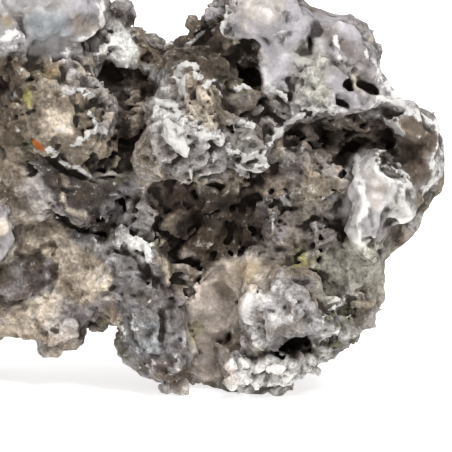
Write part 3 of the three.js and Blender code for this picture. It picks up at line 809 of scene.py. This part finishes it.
# colour, share and area, in the order they are laid
patches = [
    # crown
    ("skin", 0.9, area([(-80, -60), (98, -60), (104, 30), (100, 58), (40, 58), (-80, 55)])),
    ("blue", 0.8, area([(24, 14), (62, 12), (66, 40), (30, 44)], 8)),
    ("ochre", 0.7, area([(-6, 14), (12, 12), (16, 28), (0, 34)], 5)),
    ("tan", 0.75, area([(68, 16), (94, 16), (96, 32), (74, 34)], 6)),
    ("lilac", 0.9, area([(70, -30), (98, -30), (97, 16), (72, 14)], 5)),
    ("ochre", 0.8, area([(44, 62), (66, 62), (64, 78), (46, 78)], 4)),
    ("tan", 0.7, area([(30, 57), (92, 57), (90, 66), (34, 66)], 3)),
    # saddle and dark flank
    # pale saddle facet, its near white partly painted sunlight
    ("white", 0.95, area([(104, 20), (118, 18), (130, 29), (143, 46), (140, 56), (143, 66), (134, 71),
                          (118, 68),
                          (107, 58)], 3)),
    ("dark", 0.9, area([(104, -12), (116, 5), (128, 10), (136, 20), (130, 26), (118, 17), (106, 14)], 3)),
    ("tan", 0.7, area([(130, 28), (162, 36), (158, 44), (140, 40)], 3)),
    ("brown", 0.8, area([(137, 42), (165, 42), (165, 62), (150, 62)], 4)),
    ("dark", 0.85, area([(164, 40), (182, 26), (200, 14), (216, 0), (226, 0), (224, 40), (235, 84), (212, 82),
                         (196, 66), (178, 66), (168, 56)], 5)),
    ("lilac", 0.6, area([(200, 12), (214, -4), (226, -4), (222, 16), (206, 24)], 4)),
    # peak and right shoulder
    ("lilac", 0.95, area([(226, -40), (300, -40), (306, 12), (342, 16), (362, 34), (388, 78), (420, 114),
                          (396, 104),
                          (366, 78), (346, 62), (320, 58), (300, 84), (268, 96), (264, 52), (252, 36),
                          (228, 36)], 4)),
    ("cream", 0.4, area([(236, -20), (286, -20), (282, 14), (262, 22), (240, 18)], 7)),
    # painted shade in the peak hollow
    ("dark", 0.9, area([(228, 44), (246, 40), (260, 46), (265, 62), (264, 84), (248, 84), (236, 72)], 4)),
    ("brown", 0.6, area([(318, 28), (336, 26), (350, 40), (348, 56), (330, 52), (316, 44)], 5)),
    ("brown", 0.45, area([(346, 52), (366, 50), (388, 84), (362, 84)], 6)),
    ("green", 0.7, area([(292, 44), (316, 40), (326, 92), (320, 108), (296, 108)], 6)),
    ("lilac", 0.8, area([(326, 76), (342, 74), (364, 100), (384, 100), (372, 112), (334, 114)], 4)),
    # painted shade in the hollow under the white rim
    ("dark", 0.9, area([(376, 106), (400, 106), (408, 118), (384, 120)], 3)),
    # cave and its walls
    # painted shade inside the cave
    ("dark", 0.85, area([(284, 120), (330, 112), (388, 120), (404, 132), (400, 178), (376, 164), (352, 154),
                         (332, 178), (300, 152)], 4)),
    ("brown", 0.9, area([(402, 114), (430, 118), (438, 140), (430, 176), (414, 190), (402, 176)], 4)),
    ("rock", 0.7, area([(332, 114), (384, 122), (384, 142), (340, 138)], 4)),
    ("tan", 0.7, area([(300, 120), (318, 122), (316, 148), (302, 146)], 4)),
    # tusk
    ("skin", 0.95, area([(352, 152), (372, 150), (384, 178), (416, 184), (414, 222), (390, 222), (388, 238),
                         (354, 252), (340, 200), (340, 180)], 3)),
    ("pink", 0.5, area([(364, 166), (378, 168), (382, 204), (366, 206)], 4)),
    # painted highlight on the right side of the tusk
    ("white", 0.8, area([(385, 188), (417, 186), (413, 220), (400, 222), (388, 214)], 4)),
    ("white", 0.85, area([(353, 232), (366, 236), (376, 242), (354, 254)], 3)),
    # painted shade in the side pit
    ("dark", 0.9, area([(388, 222), (404, 222), (402, 242), (392, 240)], 2)),
    # lower right
    ("green", 0.75, area([(318, 252), (346, 244), (388, 240), (384, 292), (350, 298), (316, 302)], 5)),
    ("slate", 0.6, area([(305, 200), (345, 196), (348, 250), (312, 250)], 6)),
    ("lichen", 0.75, area([(290, 242), (306, 240), (308, 262), (292, 264)], 5)),
    ("tan", 0.6, area([(304, 154), (342, 152), (340, 182), (306, 184)], 5)),
    ("moss", 0.85, area([(326, 304), (356, 300), (360, 330), (350, 352), (330, 372), (306, 372),
                         (308, 344)], 4)),
    ("white", 0.85, area([(313, 328), (340, 324), (338, 332), (318, 337)], 2)),
    ("white", 0.8, area([(310, 342), (322, 346), (337, 358), (324, 354)], 2)),
    # apron and crust
    ("skin", 0.75, area(apronCorners, 5)),
    # painted shade in the gap under the apron
    ("shadeAndSoot", 0.85, area([(236, 347), (258, 352), (290, 340), (306, 340), (300, 352), (262, 362),
                         (240, 358)], 3)),
    ("white", 0.75, area([(226, 360), (262, 358), (306, 352), (330, 360), (322, 380), (250, 396),
                          (226, 390)], 4)),
    # niche
    ("pink", 0.95, area(nicheCorners, 4)),
    ("cream", 0.7, area([(216, 262), (258, 256), (260, 294), (230, 296)], 6)),
    ("ochre", 0.65, area([(238, 262), (257, 262), (252, 278), (240, 282)], 3)),
    ("lichen", 0.5, area([(188, 324), (200, 324), (198, 350), (190, 350)], 4)),
    ("brown", 0.5, area([(196, 342), (226, 340), (224, 376), (196, 374)], 6)),
    # recess
    # painted shade over the recess, darkest along its deep groove
    ("dark", 0.85, area([(158, 176), (200, 186), (262, 190), (288, 206), (262, 250), (200, 266),
                         (160, 258)], 6)),
    ("shadeAndSoot", 0.7, area([(256, 192), (260, 206), (214, 216), (172, 258), (166, 250), (190, 216),
                        (216, 202)], 4)),
    ("brown", 0.8, area([(172, 262), (196, 228), (224, 226), (222, 248), (190, 266)], 3)),
    ("pink", 0.6, area([(172, 262), (186, 246), (196, 256), (186, 266)], 3)),
    ("tan", 0.6, area([(163, 216), (186, 214), (178, 242), (163, 246)], 3)),
    ("tan", 0.6, area([(190, 174), (262, 176), (286, 172), (284, 192), (258, 190), (194, 184)], 4)),
    # leg and quartz
    ("slate", 0.95, area([(96, 250), (120, 246), (150, 262), (170, 290), (194, 320), (192, 372), (170, 392),
                          (134, 372), (98, 322), (112, 300)], 3)),
    ("brown", 0.6, area([(134, 356), (190, 362), (188, 394), (164, 394)], 4)),
    ("moss", 0.7, area([(102, 318), (124, 318), (128, 346), (146, 372), (136, 372), (112, 342)], 3)),
    ("blue", 0.4, area([(128, 306), (160, 304), (164, 352), (138, 356)], 6)),
    ("white", 0.95, area([(117, 236), (124, 226), (133, 231), (141, 238), (153, 240), (156, 250), (150, 264),
                          (143, 267), (134, 256), (126, 247)], 2)),
    ("cream", 0.85, area([(158, 260), (165, 262), (170, 284), (164, 284)], 2)),
    # left plate
    ("tan", 0.95, area([(-80, 150), (20, 150), (36, 184), (68, 230), (88, 248), (106, 266), (112, 300),
                        (122, 326),
                        (86, 340), (60, 353), (-80, 345)], 3)),
    ("cream", 0.7, area([(64, 276), (98, 268), (108, 290), (76, 302)], 4)),
    ("cream", 0.65, area([(20, 236), (76, 218), (84, 262), (40, 262)], 6)),
    ("cream", 0.65, area([(8, 318), (40, 312), (38, 334), (10, 336)], 5)),
    ("cream", 0.55, area([(48, 300), (70, 296), (66, 312), (46, 320)], 5)),
    ("lilac", 0.7, area([(44, 324), (76, 308), (118, 288), (118, 298), (80, 318), (52, 336)], 5)),
    ("dark", 0.6, area(bandCorners, 4)),
    ("skin", 0.95, area([(-40, 206), (10, 208), (19, 232), (14, 262), (-40, 268)], 2)),
    # left boss
    ("brown", 0.7, area([(-80, 60), (18, 60), (20, 110), (24, 146), (-80, 150)], 5)),
    ("tan", 0.7, area([(38, 82), (76, 84), (78, 134), (44, 136), (36, 112)], 4)),
    ("cream", 0.8, area([(40, 110), (76, 112), (72, 134), (46, 134)], 4)),
    ("lichen", 0.9, area([(20, 88), (30, 84), (36, 96), (32, 112), (19, 108)], 3)),
    ("tan", 0.6, area([(96, 90), (116, 96), (116, 124), (106, 128), (110, 108)], 3)),
    # keel and the gap under it
    ("keel", 0.95, area([(28, 150), (60, 166), (94, 178), (128, 180), (110, 204), (88, 222), (74, 222),
                         (46, 194)], 3)),
    ("dark", 0.5, area([(60, 172), (124, 182), (98, 214), (80, 208)], 6)),
    ("moss", 0.6, area([(108, 162), (130, 160), (128, 184), (112, 184)], 5)),
    ("cream", 0.7, area([(50, 178), (54, 178), (68, 198), (74, 210), (88, 218), (80, 222), (70, 212)], 1.5)),
    # painted shade in the black gap under the keel
    ("shadeAndSoot", 0.95, area([(74, 230), (96, 218), (112, 202), (130, 180), (134, 190), (120, 212), (110, 230),
                         (108, 240),
                         (90, 243)], 2)),
    ("slate", 0.7, area([(112, 192), (152, 180), (156, 232), (126, 232), (112, 226)], 4)),
    ("moss", 0.85, area([(22, 144), (30, 144), (36, 180), (28, 178)], 2)),
    # centre
    # painted shade in the deep crevice beside the boss
    ("shadeAndSoot", 0.85, area([(116, 112), (128, 116), (128, 152), (116, 158)], 4)),
    ("skin", 0.7, area(bossCorners, 6)),
    ("cream", 0.7, area([(184, 88), (212, 88), (210, 124), (186, 126)], 5)),
    ("blue", 0.6, area([(146, 64), (162, 66), (172, 92), (150, 94)], 5)),
    ("green", 0.5, area([(226, 110), (262, 120), (262, 150), (232, 150)], 6)),
    ("slate", 0.55, area([(224, 92), (292, 96), (284, 128), (262, 170), (230, 170)], 8)),
    ("slate", 0.5, area([(252, 196), (300, 190), (316, 250), (262, 262)], 8)),
]
for colour, weight, mask in patches:
    mix(colour, weight * at(mask))
# the plate is mottled, pale skin clings to the outer knobs but not in dim places
plate = at(area(plateCorners, 4))
small = fieldAt(4.2, 59)
mix("cream", 0.7 * plate * step(mottled + 0.6 * small, 0.5, 1.4))
mix("brown", 0.6 * plate * step(-mottled + 0.6 * small, 0.7, 1.6))
mix("lilac", 0.35 * plate * step(patchy, 0.7, 1.5))
band = at(area(bandCorners, 3))
mix("dark", 0.8 * band * step(small + patchy, -1.4, 0.6))
dim = np.maximum(area([(158, 176), (200, 184), (262, 188), (290, 204), (262, 252), (200, 266),
                       (160, 258)], 6),
                 area([(284, 118), (330, 112), (388, 118), (404, 132), (400, 178), (352, 154),
                       (300, 154)], 5))
dim = np.maximum(dim, area([(164, 40), (200, 14), (226, 0), (235, 84), (196, 66), (168, 56)], 5))
dim = np.maximum(dim, area(calmAreas["keel"][1], 3))
mix("skin", 0.45 * (1 - at(dim)) * (1 - hollow) * (1 - deep) * step(small + 0.6 * patchy, 0.5, 1.5))
apron = at(area(apronCorners, 5))
mix("white", 0.55 * apron * step(small + 0.5 * mottled, 0.3, 1.3))
mix("rock", 0.6 * apron * step(-small + 0.5 * patchy, 0.5, 1.4))
boss = at(area(bossCorners, 6))
mix("white", 0.5 * boss * step(small - 0.5 * mottled, 0.3, 1.2))
mix("brown", 0.35 * seen * step(-small - 0.5 * patchy, 0.7, 1.6))
print("patches laid", len(patches))

# white crust along ridges and ledges, partly painted highlights on rims
crustAndHighlightLines = [
    (4, [(147, 108), (156, 98), (168, 102), (176, 116)]),
    (5, [(166, 122), (172, 136), (182, 154)]),
    (4, [(196, 128), (210, 130), (222, 140), (228, 156)]),
    (4, [(183, 66), (192, 66), (199, 73)]),
    (4, [(178, 74), (182, 86), (180, 96)]),
    (3, [(204, 82), (214, 88), (223, 95)]),
    (3, [(234, 88), (240, 83), (246, 87)]),
    (4, [(236, 151), (246, 156), (256, 152), (264, 160), (261, 169), (250, 171), (238, 165)]),
    (3, [(264, 154), (274, 140), (284, 126), (300, 112), (318, 108), (332, 112)]),
    (3, [(370, 107), (380, 100), (388, 97), (400, 105), (415, 113)]),
    (3, [(337, 36), (336, 48), (338, 60)]),
    (4, [(287, 32), (288, 36)]),
    (3, [(372, 160), (377, 172), (386, 182), (400, 187), (410, 186)]),
    (3, [(380, 160), (388, 168), (402, 172), (409, 179)]),
    (4, [(358, 158), (358, 185), (362, 202), (358, 226)]),
    (4, [(390, 120), (398, 124), (402, 130)]),
    (3, [(430, 120), (438, 128), (442, 138)]),
    (4, [(420, 115), (433, 122), (441, 135), (443, 150), (437, 169), (426, 188)]),
    (3, [(366, 50), (378, 70), (390, 88), (404, 102)]),
    (3, [(-2, 40), (8, 39), (18, 36)]),
    (3, [(80, 40), (88, 37), (94, 33)]),
    (3, [(98, 2), (100, 18), (101, 28)]),
    (4, [(97, 56), (101, 46)]),
    (4, [(66, 56), (71, 49)]),
    (3, [(222, 8), (226, 20), (223, 36)]),
    (2, [(188, 44), (197, 34), (206, 24)]),
    (3, [(45, 148), (60, 160), (76, 168), (94, 174)]),
    (4, [(90, 116), (96, 126), (104, 134)]),
    (3, [(78, 142), (86, 138), (90, 130)]),
    (3, [(68, 94), (80, 92), (94, 97)]),
    (2, [(322, 310), (330, 301), (344, 294)]),
    (2, [(326, 318), (334, 306), (346, 299)]),
    (3, [(278, 196), (284, 206)]),
    (4, [(274, 90), (284, 92)]),
    (4, [(240, 126), (250, 124)]),
]
crustAndHighlight = np.zeros(bendU.shape)
for wide, corners in crustAndHighlightLines:
    crustAndHighlight = np.maximum(crustAndHighlight, line(wide, corners))
marks[:, 0] = np.maximum(marks[:, 0] * (1 - 0.8 * seen), at(crustAndHighlight))
sleek = np.zeros(bendU.shape)
for name in ["crown", "peakSkin", "pitSkin", "tusk", "sideLump"]:
    sleek = np.maximum(sleek, area(calmAreas[name][1], 5))
for name in ["rightWall", "niche"]:
    sleek = np.maximum(sleek, 0.55 * area(calmAreas[name][1], 5))
marks[:, 2] = at(sleek) + 0.3 * (1 - seen) * (1 - step(sampled(calm, probe), 0.3, 0.6))
# walls that stay light although they lie deep: they get less painted shade and dirt
litWalls = [(0.75, nicheCorners), (0.6, plateCorners),
              (0.6, calmAreas["facets"][1]), (0.5, calmAreas["crown"][1])]
shadeAndDirtShare = np.ones(count)
for share, corners in litWalls:
    shadeAndDirtShare = shadeAndDirtShare * (1 - share * at(area(corners, 5)))
hollow = hollow * shadeAndDirtShare
deep = deep * shadeAndDirtShare
# painted shade with some dirt, in creases and hollows
marks[:, 1] = np.clip(0.6 * fine + 0.5 * hollow + 0.3 * deep, 0, 1) * shadeAndDirtShare


def attribute(name, values):
    data = finished.attributes.new(name, "FLOAT_COLOR", "POINT")
    padded = np.concatenate([values, np.ones((count, 1))], 1).astype(np.float32)
    data.data.foreach_set("color", padded.ravel())


attribute("tint", tint)
attribute("marks", marks)
# painted shade in hollows and deep places, painted highlight on convex edges
attribute("wear", np.stack([hollow, deep, edge], 1))
finished.polygons.foreach_set("use_smooth", np.ones(len(finished.polygons), bool))

# stone surface: clouded tint, specks, crust and painted highlights, painted shade and dirt in the hollows
group = bpy.data.node_groups.new("weathered", "ShaderNodeTree")
for name, kind in [("Tint", "NodeSocketColor"), ("Marks", "NodeSocketColor"), ("Wear", "NodeSocketColor"),
                   ("Place", "NodeSocketVector")]:
    group.interface.new_socket(name, in_out="INPUT", socket_type=kind)
for name, kind in [("Colour", "NodeSocketColor"), ("Roughness", "NodeSocketFloat"),
                   ("Height", "NodeSocketFloat")]:
    group.interface.new_socket(name, in_out="OUTPUT", socket_type=kind)
nodes, links = group.nodes, group.links
given = nodes.new("NodeGroupInput")
result = nodes.new("NodeGroupOutput")


def put(socket, value):
    if hasattr(value, "links"):
        links.new(value, socket)
    else:
        socket.default_value = value


def cloudNode(scale, detail, rough=0.55, bend=0.0):
    node = nodes.new("ShaderNodeTexNoise")
    links.new(given.outputs["Place"], node.inputs["Vector"])
    node.inputs["Scale"].default_value = scale
    node.inputs["Detail"].default_value = detail
    node.inputs["Roughness"].default_value = rough
    node.inputs["Distortion"].default_value = bend
    return node.outputs["Fac"]


def mathNode(operation, *values):
    node = nodes.new("ShaderNodeMath")
    node.operation = operation
    for socket, value in zip(node.inputs, values):
        put(socket, value)
    return node.outputs[0]


def ramp(value, low, high, start=0.0, end=1.0):
    node = nodes.new("ShaderNodeMapRange")
    node.interpolation_type = "SMOOTHSTEP"
    for name, amount in [("Value", value), ("From Min", low), ("From Max", high),
                         ("To Min", start), ("To Max", end)]:
        put(node.inputs[name], amount)
    return node.outputs["Result"]


def mixNode(kind, share, first, second):
    node = nodes.new("ShaderNodeMix")
    node.data_type = "RGBA"
    node.blend_type = kind
    put(node.inputs["Factor"], share)
    put(node.inputs["A"], first)
    put(node.inputs["B"], second)
    return node.outputs["Result"]


def colour(name):
    return (*palette[name], 1)


# a dry bud scale, a small oval on the left face
bud = {"place": (36.5, 145), "turn": 43, "size": (0.0046, 0.006, 0.0017)}
budAt = toSpace(*bud["place"], face[cellOf(*bud["place"])]) / 1000
budPlace = nodes.new("ShaderNodeMapping")
budPlace.vector_type = "TEXTURE"
budPlace.inputs["Location"].default_value = budAt
budPlace.inputs["Rotation"].default_value = (0, math.radians(bud["turn"]), 0)
budPlace.inputs["Scale"].default_value = bud["size"]
links.new(given.outputs["Place"], budPlace.inputs["Vector"])
budGap = nodes.new("ShaderNodeVectorMath")
budGap.operation = "LENGTH"
links.new(budPlace.outputs["Vector"], budGap.inputs[0])
budSide = nodes.new("ShaderNodeSeparateXYZ")
links.new(budPlace.outputs["Vector"], budSide.inputs["Vector"])
node = nodes.new("ShaderNodeSeparateColor")
links.new(given.outputs["Marks"], node.inputs["Color"])
crustAndHighlightMask, shadeAndDirtMask, smoothMask = node.outputs["Red"], node.outputs["Green"], node.outputs["Blue"]
node = nodes.new("ShaderNodeSeparateColor")
links.new(given.outputs["Wear"], node.inputs["Color"])
hollowMask, deepMask, edgeMask = node.outputs["Red"], node.outputs["Green"], node.outputs["Blue"]

broad = cloudNode(120, 4)
grain = cloudNode(620, 4, 0.65)
flecks = cloudNode(380, 5, 0.7, 0.4)
rough = ramp(smoothMask, 0.0, 1.0, 1.0, 0.3)
grained = mathNode("MULTIPLY", ramp(grain, 0.3, 0.7, -0.4, 0.4), rough)
tone = mathNode("ADD", ramp(broad, 0.3, 0.7, -0.2, 0.2), grained)
shade = mathNode("ADD", tone, 1.0)
base = nodes.new("ShaderNodeVectorMath")
base.operation = "SCALE"
links.new(given.outputs["Tint"], base.inputs[0])
links.new(shade, base.inputs["Scale"])
base = base.outputs[0]
base = mixNode("MIX", mathNode("MULTIPLY", ramp(flecks, 0.60, 0.70, 0.0, 0.6), rough), base, colour("dark"))
ridges = nodes.new("ShaderNodeTexNoise")
ridges.noise_type = "RIDGED_MULTIFRACTAL"
ridges.normalize = True
links.new(given.outputs["Place"], ridges.inputs["Vector"])
for name, amount in [("Scale", 150), ("Detail", 7), ("Roughness", 0.7),
                     ("Lacunarity", 2.1), ("Distortion", 0.8)]:
    ridges.inputs[name].default_value = amount
veins = ridges.outputs["Fac"]
base = mixNode("MIX", mathNode("MULTIPLY", ramp(veins, 0.62, 0.85, 0.0, 0.55), rough), base, colour("dark"))
paleFlecks = cloudNode(300, 5, 0.7, 0.6)
base = mixNode("MIX", ramp(paleFlecks, 0.62, 0.70, 0.0, 0.6), base, colour("cream"))
# painted highlight: convex edges are lightened
lighter = nodes.new("ShaderNodeVectorMath")
lighter.operation = "SCALE"
links.new(base, lighter.inputs[0])
links.new(mathNode("ADD", mathNode("MULTIPLY", edgeMask, 0.5), 1.0), lighter.inputs["Scale"])
base = lighter.outputs[0]
# white crust, partly painted highlight on rims and convex edges
crustAndHighlightEdge = mathNode("ADD", mathNode("MULTIPLY", crustAndHighlightMask, 0.85), mathNode("MULTIPLY", edgeMask, 0.3))
crustAndHighlightEdge = mathNode("ADD", crustAndHighlightEdge, ramp(cloudNode(240, 6, 0.7), 0.25, 0.75, -0.6, 0.5))
base = mixNode("MIX", ramp(crustAndHighlightEdge, 0.4, 0.72, 0.0, 0.9), base, colour("white"))
# painted shade with some dirt: hollows to brown, deep places and creases to near black
shadeAndDirtEdge = mathNode("ADD", shadeAndDirtMask, ramp(cloudNode(330, 5, 0.65), 0.25, 0.75, -0.3, 0.3))
base = mixNode("MIX", ramp(hollowMask, 0.0, 1.0, 0.0, 0.5), base, colour("brown"))
base = mixNode("MIX", ramp(deepMask, 0.1, 1.0, 0.0, 0.6), base, colour("shadeAndSoot"))
base = mixNode("MIX", ramp(shadeAndDirtEdge, 0.25, 1.05, 0.0, 0.85), base, colour("shadeAndSoot"))
budColour = mixNode("MIX", ramp(budSide.outputs["X"], -0.9, -0.4), colour("dark"), colour("rust"))
base = mixNode("MIX", ramp(budGap.outputs["Value"], 0.85, 1.0, 1.0, 0.0), base, budColour)
links.new(base, result.inputs["Colour"])
links.new(ramp(grain, 0.3, 0.7, 0.62, 0.9), result.inputs["Roughness"])
height = mathNode("ADD", mathNode("MULTIPLY", grain, 0.5), mathNode("MULTIPLY", flecks, 0.6))
height = mathNode("SUBTRACT", height, mathNode("MULTIPLY", veins, 0.8))
height = mathNode("MULTIPLY", height, rough)
links.new(height, result.inputs["Height"])

finish = {"bump": 0.9, "bumpDistance": 0.0022, "specular": 0.3}
material = bpy.data.materials.new("limestone")
material.use_nodes = True
tree = material.node_tree
surface = tree.nodes["Principled BSDF"]
weathered = tree.nodes.new("ShaderNodeGroup")
weathered.node_tree = group
for name in ["tint", "marks", "wear"]:
    reader = tree.nodes.new("ShaderNodeAttribute")
    reader.attribute_name = name
    tree.links.new(reader.outputs["Color"], weathered.inputs[name.capitalize()])
place = tree.nodes.new("ShaderNodeTexCoord")
tree.links.new(place.outputs["Object"], weathered.inputs["Place"])
bump = tree.nodes.new("ShaderNodeBump")
bump.inputs["Strength"].default_value = finish["bump"]
bump.inputs["Distance"].default_value = finish["bumpDistance"]
tree.links.new(weathered.outputs["Height"], bump.inputs["Height"])
tree.links.new(weathered.outputs["Colour"], surface.inputs["Base Color"])
tree.links.new(weathered.outputs["Roughness"], surface.inputs["Roughness"])
tree.links.new(bump.outputs["Normal"], surface.inputs["Normal"])
surface.inputs["Specular IOR Level"].default_value = finish["specular"]
finished.materials.clear()
finished.materials.append(material)

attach(skin, "root")
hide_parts("stone")
print("stone finished")

# white table, brighter to the camera than to the stone
tableLook = {"half": 20, "paper": 0.9, "glow": 0.3, "cameraGlow": 0.4}
half = tableLook["half"]
table = bpy.data.meshes.new("table")
table.from_pydata([(-half, -half, 0), (half, -half, 0), (half, half, 0),
                   (-half, half, 0)], [], [(0, 1, 2, 3)])
tableTop = bpy.data.objects.new("table", table)
scene.collection.objects.link(tableTop)
paper = bpy.data.materials.new("paper")
paper.use_nodes = True
paperSurface = paper.node_tree.nodes["Principled BSDF"]
paperSurface.inputs["Base Color"].default_value = (*[tableLook["paper"]] * 3, 1)
paperSurface.inputs["Roughness"].default_value = 0.6
paperSurface.inputs["Emission Color"].default_value = (1, 1, 1, 1)
ray = paper.node_tree.nodes.new("ShaderNodeLightPath")
glow = paper.node_tree.nodes.new("ShaderNodeMath")
glow.operation = "MULTIPLY_ADD"
glow.inputs[1].default_value = tableLook["cameraGlow"]
glow.inputs[2].default_value = tableLook["glow"]
paper.node_tree.links.new(ray.outputs["Is Camera Ray"], glow.inputs[0])
paper.node_tree.links.new(glow.outputs[0], paperSurface.inputs["Emission Strength"])
table.materials.append(paper)

# even sky and a soft sun
lighting = {"skyToStone": 0.5, "skyToCamera": 1.0, "sun": 2.3, "sunAngle": 24, "from": (0.45, -0.75, 1.0)}
sky = bpy.data.worlds.new("sky")
scene.world = sky
sky.use_nodes = True
skyNodes, skyLinks = sky.node_tree.nodes, sky.node_tree.links
path = skyNodes.new("ShaderNodeLightPath")
level = skyNodes.new("ShaderNodeMapRange")
level.inputs["To Min"].default_value = lighting["skyToStone"]
level.inputs["To Max"].default_value = lighting["skyToCamera"]
skyLinks.new(path.outputs["Is Camera Ray"], level.inputs["Value"])
skyLinks.new(level.outputs["Result"], skyNodes["Background"].inputs["Strength"])
skyNodes["Background"].inputs["Color"].default_value = (1, 1, 1, 1)
sun = bpy.data.lights.new("sun", "SUN")
sun.energy = lighting["sun"]
sun.angle = math.radians(lighting["sunAngle"])
sunHolder = bpy.data.objects.new("sun", sun)
sunHolder.rotation_mode = "QUATERNION"
sunHolder.rotation_quaternion = Vector(lighting["from"]).to_track_quat("Z", "Y")
scene.collection.objects.link(sunHolder)
scene.view_settings.view_transform = "Standard"
scene.view_settings.look = "None"
scene.view_settings.exposure = 0
print("stage lit")
